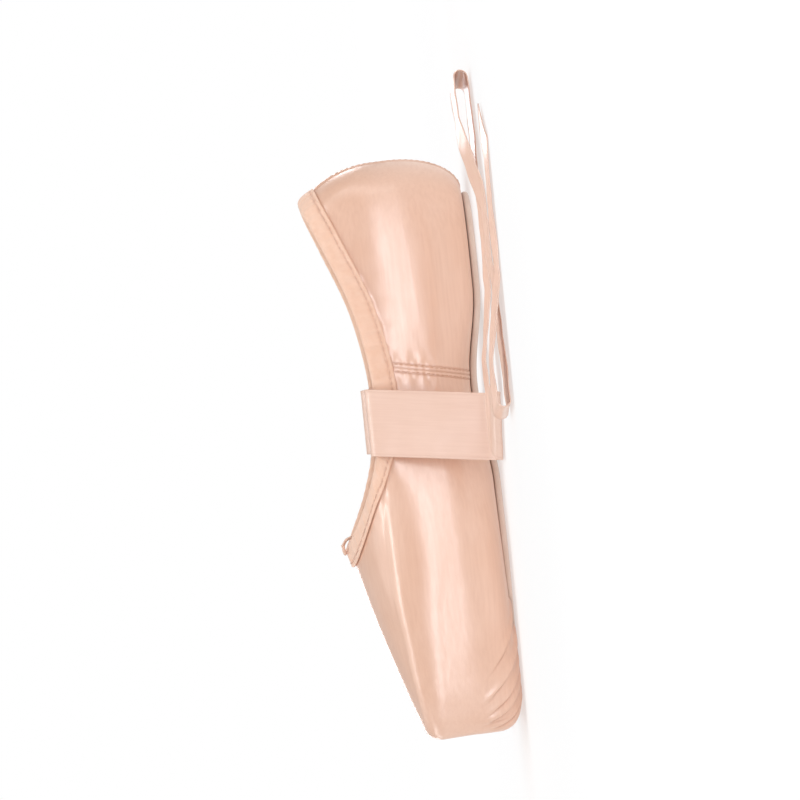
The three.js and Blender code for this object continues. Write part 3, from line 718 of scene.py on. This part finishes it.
# How close the stations lie on the left half: pairs of a ring and mm at the widest line.
SPACING = [(0, 0.4), (0.5, 0.9), (3.1, 0.9), (3.5, 0.4), (5.2, 0.4), (5.6, 0.9), (8.2, 0.8), (9, 0.42),
           (LAST, 0.42)]


def make_stations():
    fine = np.linspace(0, LAST, 6001)
    wide = section_at(fine)["wide"]
    steps = np.linalg.norm(np.diff(wide, axis=0), axis=-1)
    spacing = np.interp((fine[1:] + fine[:-1]) / 2, *zip(*SPACING))
    count = np.concatenate([[0], np.cumsum(steps / spacing)])
    half = np.interp(np.linspace(0, count[-1], int(count[-1]) + 1), count, fine)
    return np.concatenate([half, AROUND - half[-2:0:-1]])


RINGS = make_stations()

# Side seam: x at the sole's edge and at the collar, in mm.
SEAM_AT_SOLE, SEAM_AT_COLLAR = -25.0, -33.0
SEAM_LINES = (-1.7, 0.0, 1.7)  # the two rows of stitching and the join between them
# Back strip: the rows of stitching that hold it and its edge, in mm from the middle.
STRIP_LINES = (-3.0, 3.0)
STRIP_EDGE = 4.3
SOLE_SHADE = 1.3  # mm over which painted shade darkens the satin into the gap at the sole
SOLE_ROW = 2  # the row of points that lies on the sole's edge

# Pleats that gather the satin under the toe: ring at the sole's edge, where the wall turns up and at the top
# end, the v of that end, and mm high.
PLEATS = [
    (8.3, 8.8, 9.5, 1.84, 0.95),
    (9.1, 9.45, 10.2, 1.92, 1.45),
    (9.8, 10.0, 10.7, 1.9, 1.3),
    (10.5, 10.5, 11.1, 1.95, 1.5),
    (11.1, 11.05, 11.6, 1.87, 1.3),
    (11.8, 11.65, 12.1, 1.88, 1.35),
    (12.5, 12.3, 12.6, 1.8, 1.2),
    (13.1, 12.95, 13.15, 1.78, 1.0),
    (13.65, 13.6, 13.7, 1.73, 0.6),
]
TURN_UP = 1.42  # the v where the wall turns up
OFF_FLOOR = 0.25  # mm that the pleats keep off the floor
OUTER_ROWS, INNER_ROWS = (43, 51), (8, 11)  # rows of points below and above the widest line
PLEAT_WIDTH = 2.6  # mm at the wall


def pleat_shape(d, width):
    """A fold that lies over to one side: a slow rise, then a drop into a narrow crease."""
    ridge = np.where(d < 0, bell(d, width), bell(d, 0.28 * width))
    crease = bell(d - 0.5 * width, 0.17 * width)
    # the second value marks each crease, where painted shade goes
    return ridge - 0.45 * crease, crease


def pleats(mirrored, v, pace, up):
    height = crease = 0
    for start, bend, end, top, tall in PLEATS:
        low = np.clip((v - 1) / (TURN_UP - 1), 0, 1)
        high = np.clip((v - TURN_UP) / (top - TURN_UP), 0, 1)
        at = start + (bend - start) * low + (end - bend) * high**1.3
        shape, line = pleat_shape((mirrored - at) * pace, PLEAT_WIDTH * (0.4 + 0.45 * low + 0.15 * high))
        fade = smooth(up, 0.2, 2.2) * (1 - smooth(high, 0.2, 1))
        height = height + tall * shape * fade
        # painted shade in each pleat's crease
        crease = crease + 0.95 * line * fade
    return height, crease


def seam_distance(p):
    """mm from the side seam, measured along the shoe."""
    up = np.clip((p[..., 2] - 4) / 40, 0, 1)
    return p[..., 0] - (SEAM_AT_SOLE + (SEAM_AT_COLLAR - SEAM_AT_SOLE) * up)


def side_seams(p, up):
    """A soft welt with a groove at each line, and puckers at the stitches and further off."""
    d = seam_distance(p)
    body = smooth(up, 0.3, 2.5)
    grooves = [bell(d - line, 0.3) for line in SEAM_LINES]
    height = 0.28 * bell(d, 2.9, 4) - 0.34 * sum(grooves) + 0.04 * grooves[1]
    puckers = ripple(up, 2.7) * bell(np.abs(d) - SEAM_LINES[-1], 1.5)
    drags = ripple(up, 5.4, 1) * bell(np.abs(d) - 4.5, 2.6)
    # the second value is painted shade in the grooves
    return (height + 0.07 * (puckers + drags)) * body, sum(grooves) * body


def back_strip(p, up):
    """A strip down the back of the heel, stitched along both sides."""
    d = p[..., 1]
    back = (p[..., 0] < -60) * smooth(up, 0.3, 3)
    height = 0.5 * (1 - smooth(np.abs(d), STRIP_EDGE - 0.8, STRIP_EDGE))
    grooves = sum(bell(d - line, 0.32) for line in STRIP_LINES)
    # painted shade along the strip's edges and in its stitch grooves
    crease = 0.6 * bell(np.abs(d) - STRIP_EDGE, 0.3) + 0.3 * grooves
    return (height - 0.14 * grooves) * back, crease * back


def under_binding(mirrored, below, along):
    """The lining's edge, a soft ridge round the throat, and gathers all along the collar."""
    throat = smooth(mirrored, 8.5, 11.5)
    gathers = ripple(along, 8.3, 1.9 * np.sin(along / 19)) + 0.5 * ripple(along, 4.7)
    height = 0.2 * bell(below - 2.7, 0.55) * throat + 0.07 * gathers * bell(below, 6) * (below > 0)
    # the second value is painted shade just below the ridge
    return height, 0.22 * bell(below - 3.6, 0.4) * throat


def unevenness(p, up):
    """Long slow waves of the cloth over the stiffened layers."""
    x, y, z = (p[..., k] for k in range(3))
    slow = np.sin(x / 15 + y / 21 + 0.6) + np.sin(x / 9.5 - z / 8 + 2.1) * 0.5
    slow = slow + np.sin(y / 7.5 + x / 26 + 4) * 0.6
    return 0.12 * slow * smooth(up, 1, 8), 0


def rubbing(mirrored, v, p):
    """Light wear along the platform's edges."""
    x, y, z = (p[..., k] for k in range(3))
    rubbed = bell(v - 3.5, 0.35) + 0.6 * bell(v - 1.7, 0.2)
    patches = 0.5 + 0.5 * np.sin(x / 1.7 + y / 2.3) * np.sin(y / 1.1 - z / 1.9)
    return 0, 0.16 * rubbed * patches * smooth(mirrored, 10.5, 12.5)


def relief(ring, v, p, pace, up, down, along):
    """How far the satin stands off the plain skin, and how much painted shade its creases, grooves and the gap
    at the sole get, with wear along the platform's edges. pace is mm for each ring, up mm from the sole's edge,
    down mm to the collar's edge and along mm round the collar."""
    mirrored = np.where(ring > LAST, AROUND - ring, ring) * np.ones_like(v)
    parts = (pleats(mirrored, v, pace, up), side_seams(p, up), back_strip(p, up),
             under_binding(mirrored, down - BINDING_WIDTH, along), unevenness(p, up), rubbing(mirrored, v, p))
    height, crease = (sum(column) for column in zip(*parts))
    # painted shade into the gap at the sole
    crease = crease + 0.85 * (1 - smooth(up, 0, SOLE_SHADE)) * (v >= AT_SOLE)
    keep = smooth(down, BINDING_WIDTH - 0.3, BINDING_WIDTH + 0.9) * smooth(up, 0, 0.8)
    return height * keep, np.clip(crease * np.maximum(keep, up < 1.2), 0, 0.9)


def upper_rows(low, high, top):
    """v of each row of points at each station: low of them to the widest line, high from there to the top."""
    under = np.concatenate([[0, 0.5], 1 + np.linspace(0, 1, low, endpoint=False)])
    climb = AT_WIDE + (top[:, :1] - AT_WIDE) * np.linspace(0, 1, high, endpoint=False)
    return np.concatenate([np.broadcast_to(under, (len(RINGS), len(under))), climb, top], 1)


def make_upper():
    """Makes the upper, and returns its outer faces for what is sewn through them."""
    ring = RINGS[:, None]
    top = v_below(RINGS, BINDING_WIDTH + np.array([0.9, 0.3, 0, -BINDING_WIDTH / 2, -BINDING_WIDTH]))
    v = upper_rows(*OUTER_ROWS, top)
    p = skin(ring, v)
    pace = np.linalg.norm(skin(ring + NEAR, v) - skin(ring - NEAR, v), axis=-1) / (2 * NEAR)
    climbed = arc_length(p, 1)
    up = np.maximum(climbed - climbed[:, SOLE_ROW : SOLE_ROW + 1], 0)
    collar = arc_length(skin(RINGS, AT_COLLAR))[:, None]
    height, crease = relief(ring, v, p, pace, up, climbed[:, -1:] - climbed, collar)
    outer = p + normal_at(ring, v) * height[..., None]
    outer[..., 2] = np.maximum(outer[..., 2], OFF_FLOOR)
    inner_v = upper_rows(*INNER_ROWS, top[:, [0, 2, 4]])
    inner = skin(ring, inner_v) - normal_at(ring, inner_v) * thickness_at(ring, inner_v)[..., None]
    loops = np.concatenate([outer, inner[:, ::-1]], 1)
    around = arc_length(section_at(np.append(RINGS, AROUND))["wide"])
    climbs = np.concatenate([climbed, arc_length(inner, 1)[:, ::-1]], 1)
    uv = np.stack(np.broadcast_arrays(around[:-1, None], climbs), -1)
    # the crease attribute: painted shade on the satin's creases, grooves and sole gap, and wear on the
    # platform's edges
    shades = {"crease": np.concatenate([crease, np.zeros_like(inner_v)], 1)}
    faces = grid_faces(*loops.shape[:2], ring=True, loop=True)
    lined = faces[:, 0] % loops.shape[1] >= outer.shape[1] - 1
    piece = lofted("satin_upper", SATIN, loops, uv, shades, ring=True, slots=lined, girth=around[-1])
    piece.data.materials.append(LINING)
    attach(piece, "root")
    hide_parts("upper")
    return BVHTree.FromPolygons(loops.reshape(-1, 3).tolist(), faces[~lined].tolist())


SATIN_FACE = make_upper()


# ---- The binding and its stitches ----


def even_rings(below, out, spacing, start=0.0):
    """Stations at even spacing along a line round the collar, their places along it and its length, in mm."""
    fine = np.linspace(0, AROUND, 1401)
    along = arc_length(by_collar(fine, below, out)[:, 0])
    count = max(8, round(along[-1] / spacing))
    places = (np.arange(count) + start) * along[-1] / count
    return np.interp(places, along, fine), places, along[-1]


# The folded tape's section, a row for each point: mm below the collar's edge and mm off the upper's outer
# face, or where that is negative, off its inner face. Outside, the last column is how much relief it takes.
TAPE_OUTSIDE = np.array([
    (7.5, 0.3, 0), (7.62, 0.42, 0), (7.66, 0.62, 0), (7.56, 0.86, 0.4), (7.2, 1, 1), (6.7, 1, 1),
    (6.1, 0.92, 1), (5.9, 0.84, 1), (5.7, 0.92, 1), (5, 1.04, 1), (4.2, 1.08, 1), (3.4, 1.12, 1),
    (2.6, 1.16, 1), (1.8, 1.18, 1), (1, 1.16, 1), (0.3, 1.1, 0.8), (-0.35, 0.92, 0.5), (-0.85, 0.55, 0.2),
    (-1.15, 0.02, 0),
])
TAPE_CREST = -1.28
TAPE_INSIDE = np.array([
    (-0.85, -0.45), (-0.4, -0.8), (0.3, -1.02), (1.4, -1.08), (3, -1.06), (4.6, -1.04), (5.8, -0.9),
    (6.4, -1), (7.2, -0.98), (7.5, -0.8), (7.5, -0.4), (6, -0.32), (3.6, -0.32), (1.2, -0.32),
])
TAPE_UNDERSIDE = np.array([(-0.32, -0.32), (-0.32, 0.3), (1.2, 0.3), (3.6, 0.3), (6, 0.3)])
STITCH_LINE = 5.9  # mm below the collar's edge
OVERLAP_FROM, OVERLAP_TO = -1.2, 6.5  # y where the binding's end lies over its start
OVERLAP_LIFT = 0.5
NOTCH_AT, NOTCH_DEPTH = -1.3, 0.91  # y where the two ends meet, and mm that the fold is drawn down there


def overlap(p):
    """From 0 to 1, how far these points of the binding lie on the end that lies over."""
    y = p[..., 1]
    over = smooth(y, OVERLAP_FROM, OVERLAP_FROM + 0.3) * (1 - smooth(y, OVERLAP_TO - 3, OVERLAP_TO))
    return over * (p[..., 0] > 0)


def make_binding():
    rings, along, girth = even_rings(BINDING_WIDTH / 2, GAP, 0.55)
    sections = (TAPE_OUTSIDE, TAPE_INSIDE, TAPE_UNDERSIDE)
    outside, inside, underside = (by_collar(rings, rows[:, 0], rows[:, 1]) for rows in sections)
    crest = by_collar(rings, TAPE_CREST, 0) - normal_at(rings[:, None], AT_COLLAR) * (COLLAR_WALL / 2)
    loops = np.concatenate([outside, crest, inside, underside], 1)
    k = len(TAPE_OUTSIDE)
    below, hidden = TAPE_OUTSIDE[:, 0], np.zeros(len(TAPE_UNDERSIDE))
    y, front = loops[:, :1, 1], loops[:, :1, 0] > 0
    gathers = 0.1 * ripple(along, 5.2, 1.5 * np.sin(along / 17)) + 0.06 * ripple(along, 2.9)
    lift = (gathers[:, None] + OVERLAP_LIFT * overlap(loops[:, :1])) * TAPE_OUTSIDE[:, 2]
    loops[:, :k] += normal_at(rings[:, None], v_below(rings, np.maximum(below, 0))) * lift[..., None]
    dips = np.concatenate([below < 0.5, [1], TAPE_INSIDE[:, 0] < 0.5, hidden])
    loops -= up_at_collar(rings)[:, None] * (NOTCH_DEPTH * bell(y - NOTCH_AT, 1.1) * front * dips)[..., None]
    across = np.concatenate([below, [TAPE_CREST], -TAPE_INSIDE[:, 0] - 3, hidden])
    uv = np.stack(np.broadcast_arrays(along[:, None], across), -1)
    crease = np.zeros(loops.shape[:2])
    # painted shade in the stitch groove and under the edge of the end that lies over
    crease[:, :k] = 0.2 * bell(below - STITCH_LINE, 0.3) + 0.95 * bell(y - OVERLAP_FROM, 0.26) * front
    # painted shade along the tape's lower edge, against the satin
    crease[:, :2] = 0.7
    shades = {"crease": np.clip(crease, 0, 1)}
    piece = lofted("collar_binding", TAPE, loops, uv, shades, ring=True, girth=girth)
    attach(piece, "root")
    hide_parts("binding")


make_binding()


def capsule(length, radius, sides):
    """Points and faces of one stitch, which lies along x and dips in at both ends, and each point's x."""
    x = np.array([-0.5, -0.44, -0.3, 0, 0.3, 0.44, 0.5]) * length
    r = np.array([0.25, 0.7, 0.95, 1, 0.95, 0.7, 0.25]) * radius
    sink = np.array([-1.1, -0.7, -0.2, 0.1, -0.2, -0.7, -1.1]) * radius
    turn = np.linspace(0, 2 * math.pi, sides, endpoint=False)
    rise = r[:, None] * np.sin(turn) + sink[:, None]
    p = points(x[:, None], r[:, None] * np.cos(turn), rise).reshape(-1, 3)
    faces = grid_faces(len(x), sides, loop=True).tolist() + caps(len(x), sides)
    return p, np.array(faces), np.repeat(x, sides)


STITCH_SIDES = 8
STITCH_RAISED = 0.02


def stitches(name, at, normal, along, length, radius, yarn=THREAD):
    """One piece that holds a row of stitches, at these points."""
    shape, faces, x = capsule(length, radius, STITCH_SIDES)
    along = unit(along - normal * np.sum(along * normal, -1, keepdims=True))
    axes = np.stack([along, np.cross(normal, along), normal], 1)
    verts = at[:, None] + np.einsum("vk,nkc->nvc", shape, axes)
    count, size = verts.shape[:2]
    all_faces = (faces[None] + (np.arange(count) * size)[:, None, None]).reshape(-1, 4)
    turn = np.tile(np.arange(size) % STITCH_SIDES * radius * 0.8, count)
    uv = np.stack([np.tile(x, count) + np.repeat(np.arange(count) * length, size), turn], -1)
    piece = mesh_piece(name, verts.reshape(-1, 3), all_faces.tolist(), uv)
    piece.data.materials.append(yarn)
    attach(piece, "root")


def collar_stitches(name, out, pitch=2.2, length=1.75, radius=0.19):
    rings, _, _ = even_rings(STITCH_LINE, out, pitch, 0.5)
    at, ahead = (by_collar(rings + step, STITCH_LINE, out)[:, 0] for step in (0, 0.03))
    normal = normal_at(rings, v_below(rings, STITCH_LINE)[:, 0]) * np.sign(out)
    lifted = at + normal * OVERLAP_LIFT * overlap(at)[:, None] * (out > 0)
    stitches(name, lifted, normal, ahead - at, length, radius)


collar_stitches("binding_stitches_outside", 1.1)
collar_stitches("binding_stitches_inside", -1.15)


def satin_line(rings, measure, side):
    """A line just off the satin, from the sole up to the binding, where measure of its points passes zero
    between these rings. side is -1 to mirror it."""
    top = v_below([rings[len(rings) // 2]], BINDING_WIDTH + 0.8)[0, 0]
    heights = np.linspace(1.15, top, 70)
    across = measure(skin(rings[:, None], heights[None]))
    ring = np.array([np.interp(0, column, rings) for column in across.T])
    return (skin(ring, heights) + normal_at(ring, heights) * 1.5) * [1, side, 1]


def along_line(line, places, where):
    """The points of a line at these lengths along it. places holds the length up to each of its corners."""
    return np.stack([np.interp(where, places, column) for column in line.T], -1)


def satin_stitches(name, lines, pitch, length, radius):
    """Rows of stitches on the satin, below lines that run just off it."""
    rows = []
    for line in lines:
        places = arc_length(line)
        count = int(places[-1] / pitch)
        middles = (np.arange(count) + 0.5) * places[-1] / count
        p, ahead = (along_line(line, places, middles + step) for step in (0, 0.3))
        at = np.array([SATIN_FACE.find_nearest(Vector(q))[0] for q in p])
        rows.append((at, unit(p - at), ahead - p))
    at, normal, along = (np.concatenate(column) for column in zip(*rows))
    stitches(name, at + normal * STITCH_RAISED, normal, along, length, radius, SEAM_THREAD)


SEAM_RINGS, BACK_RINGS = np.linspace(3, 6, 61), np.linspace(-1, 1, 61)
seam_rows = [satin_line(SEAM_RINGS, lambda p, off=off: seam_distance(p) - off, side)
             for side in (1, -1) for off in (SEAM_LINES[0], SEAM_LINES[-1])]
strip_rows = [satin_line(BACK_RINGS, lambda p, off=off: p[..., 1] - off, 1) for off in STRIP_LINES]
satin_stitches("side_seam_stitches", seam_rows, pitch=1.9, length=1.35, radius=0.11)
satin_stitches("back_strip_stitches", strip_rows, pitch=2.3, length=1.6, radius=0.13)


def ribbon_stitches(name, folds, side):
    """A box of stitches that sews a ribbon's start to the lining."""
    low, high, wide, pitch = 2.5, 15.0, 10.2, 2.1
    corners = np.array([(low, -wide), (high, -wide), (high, wide), (low, wide), (low, -wide)])
    places = arc_length(corners)
    middles = np.arange(pitch / 2, places[-1], pitch)
    (point, face), (ahead, _) = (on_ribbon(folds, *along_line(corners, places, middles + step).T)
                                 for step in (0, 0.2))
    flip = np.array([1, side, 1])
    at = point - face * (RIBBON_CLOTH / 2 + 0.03)
    stitches(name, at * flip, -face * flip, (ahead - point) * flip, 1.6, 0.16)


ribbon_stitches("ribbon_stitches_left", LEFT_FOLDS, 1)
ribbon_stitches("ribbon_stitches_right", RIGHT_FOLDS, -1)


# ---- The outsole and insole ----


def sole_edge(ring, inset):
    """The outsole's outline, drawn in by inset mm."""
    at, ahead, behind = (section_at(ring + step)["sole"] for step in (0, 3 * NEAR, -3 * NEAR))
    along = ahead - behind
    inward = unit(points(along[..., 1], -along[..., 0], 0))
    return at + inward * inset


def to_middle(edge, share):
    """Points that share of the way from the edge to the shoe's middle line."""
    x = edge[..., 0]
    middle = points(np.clip(x, x.min() + 14, x.max() - 9), 0 * x, 0)
    return edge + (middle - edge) * share


INWARD = (0.03, 0.07, 0.13, 0.22, 0.34, 0.48, 0.64, 0.82, 1.0)
# The outsole's edge from underneath to the top: inset and height in mm, and how pale it is rubbed.
SOLE_EDGE = [
    (1.5, 0, 0.5), (0.75, 0.14, 0.8), (0.36, 0.42, 0.8), (0.16, 0.85, 0.5), (0.08, 1.35, 0.3),
    (0.12, 1.85, 0.3), (0.3, 2.25, 0.4), (0.62, 2.52, 0.2), (1.1, SOLE_THICKNESS, 0),
]
MERGE = 0.002
BRIM = (1.0, 1.07, 1.13, 1.2, 1.26)  # the v of the rows where the insole climbs up the wall
DISH = (0.02, 0.06, 0.12, 0.2, 0.32, 0.46, 0.62, 0.8, 1.0)  # how far in the rows of its top lie
BRIM_ROUND, DISH_DEPTH = 0.35, 0.9


def level(p, height):
    """Points moved up or down to this height over the sole's underside."""
    return points(p[:, 0], p[:, 1], arch_lift(p[:, 0]) + height)


def flat_rows(edge, shares, height):
    return [level(to_middle(edge, share), height) for share in shares]


def make_outsole():
    rings = RINGS[::2]
    around = arc_length(section_at(rings)["sole"])
    wobble = (0.08 * ripple(around, 19) + 0.048 * ripple(around, 7.3))[:, None]
    rows = flat_rows(sole_edge(rings, SOLE_EDGE[0][0] + GAP), INWARD[::-1], 0)
    rows += [level(sole_edge(rings, inset + GAP + wobble), height) for inset, height, _ in SOLE_EDGE]
    rows += flat_rows(sole_edge(rings, SOLE_EDGE[-1][0] + GAP), INWARD, SOLE_THICKNESS)
    loops = np.stack(rows, 1)
    edge, crease = np.zeros((2, *loops.shape[:2]))
    top = len(INWARD) + len(SOLE_EDGE)
    edge[:, len(INWARD) : top] = [rubbed for _, _, rubbed in SOLE_EDGE]
    # painted shade along the top of the edge and over the top face, under the upper
    crease[:, top - 3 :] = 0.6
    shades = {"crease": crease, "edge": edge}
    piece = lofted("suede_outsole", SUEDE, loops, loops[..., :2], shades, ring=True, loop=False, merge=MERGE)
    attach(piece, "root")
    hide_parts("outsole")


make_outsole()


def make_insole():
    rings = RINGS[::2]

    def clear(v):
        """Points GAP inside the upper's inner face."""
        return skin(rings, v) - normal_at(rings, v) * (thickness_at(rings, v) + GAP)[..., None]

    hole = section_at(rings)["hole"]
    x = hole[:, 0] - np.sign(hole[:, 0]) * GAP * np.abs(hole[:, 0] / (HOLE_LONG * 0.5 * LENGTH))
    y = np.sign(hole[:, 1]) * np.maximum(np.abs(hole[:, 1]) - GAP, np.abs(hole[:, 1]) * 0.5)
    inside = points(x, y, 0)
    under = SOLE_THICKNESS + GAP
    rows = flat_rows(inside, [*INWARD[::-1], 0], under)
    rows.append(points(x, y, clear(0.0)[:, 2]))
    rows += [clear(v) for v in BRIM]
    brim = rows[-1]
    for share in DISH:
        p = to_middle(brim, share)
        rise = BRIM_ROUND * math.sin(min(share / DISH[1], 1) * math.pi / 2)
        rows.append(points(p[:, 0], p[:, 1], brim[:, 2] + rise - DISH_DEPTH * smooth(share, 0.03, 0.5)))
    loops = np.stack(rows, 1)
    crease = np.zeros(loops.shape[:2])
    # painted shade along the rim where the insole meets the wall
    crease[:, -len(DISH) : 2 - len(DISH)] = 0.5
    shades = {"crease": crease}
    piece = lofted("canvas_insole", INSOLE, loops, loops[..., :2], shades, ring=True, loop=False, merge=MERGE)
    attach(piece, "root")
    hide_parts("insole")


make_insole()


# ---- Floor, light, background ----

FLOOR_SIZE = 6000
FLOOR_NEAR, FLOOR_FAR = 0.25, 1.2  # m from the shoe, between which the floor comes to shine by itself
BACKGROUND_LIGHT = 0.47


def make_floor():
    """A white floor that takes a soft shadow near the shoe and shines by itself further off."""
    n = Nodes("floor")
    metres = n.add("ShaderNodeVectorMath", [n.place(1.0)], operation="LENGTH").outputs["Value"]
    n.set(Base_Color=(0.9, 0.9, 0.9, 1), Roughness=0.9, Specular_IOR_Level=0.1)
    glow = n.add("ShaderNodeEmission", [(1, 1, 1, 1), n.span(metres, FLOOR_NEAR, FLOOR_FAR, 1.13, 1.0)])
    share = n.span(metres, FLOOR_NEAR, FLOOR_FAR, 0.42, 1.0)
    both = n.add("ShaderNodeMixShader", [share, n.shader.outputs[0], glow.outputs[0]])
    n.put(n.tree.nodes["Material Output"].inputs["Surface"], both.outputs[0])
    corners = [[x * FLOOR_SIZE, y * FLOOR_SIZE, 0] for x, y in ((-1, -1), (1, -1), (1, 1), (-1, 1))]
    floor = mesh_piece("floor", corners, [[0, 1, 2, 3]])
    floor.data.materials.append(n.made)


def make_background():
    """White for the camera, and dimmer as a light on the shoe."""
    n = Nodes("studio", bpy.data.worlds, "Background")
    seen = n.add("ShaderNodeLightPath").outputs["Is Camera Ray"]
    n.set(Color=(1, 1, 1, 1), Strength=n.span(seen, 0, 1, BACKGROUND_LIGHT))
    bpy.context.scene.world = n.made


def make_light(name, place, aim, size, watts, colour=(1, 1, 1)):
    """A panel that faces the aim, with its first size along the shoe."""
    data = bpy.data.lights.new(name, "AREA")
    data.shape = "RECTANGLE"
    data.size, data.size_y = size
    data.energy = watts
    data.color = colour
    back = (Vector(place) - Vector(aim)).normalized()
    across = (Vector((1, 0, 0)) - back * back.x).normalized()
    light = placed(name, data)
    light.matrix_world = facing(place, across, back.cross(across), back)
    light.visible_camera = False


make_floor()
make_light("side_strip", (0.1, 1.2, 0.13), (0.1, 0, 0.03), (2.3, 0.14), 6.9, (0.97, 0.95, 1))
make_light("side_fill", (-0.3, 0.9, 1.1), (0, 0, 0.03), (1.2, 0.8), 1)
make_light("far_strip", (0.1, -1.2, 0.2), (0.1, 0, 0.03), (2.3, 0.16), 5.4, (0.97, 0.95, 1))
make_light("toe_strip", (1.2, -0.25, 0.35), (0.05, 0, 0.03), (0.16, 0.9), 2.1)
make_light("heel_strip", (-1.2, 0.3, 0.35), (-0.05, 0, 0.03), (0.16, 0.9), 1.8)
make_light("above", (-0.3, 0.3, 1.5), (-0.3, 0, 0), (2.2, 0.2), 7)
make_light("top_fill", (0.2, -0.2, 1.8), (0, 0, 0), (1.6, 1.6), 6)

make_background()
bpy.context.scene.view_settings.view_transform = "Standard"
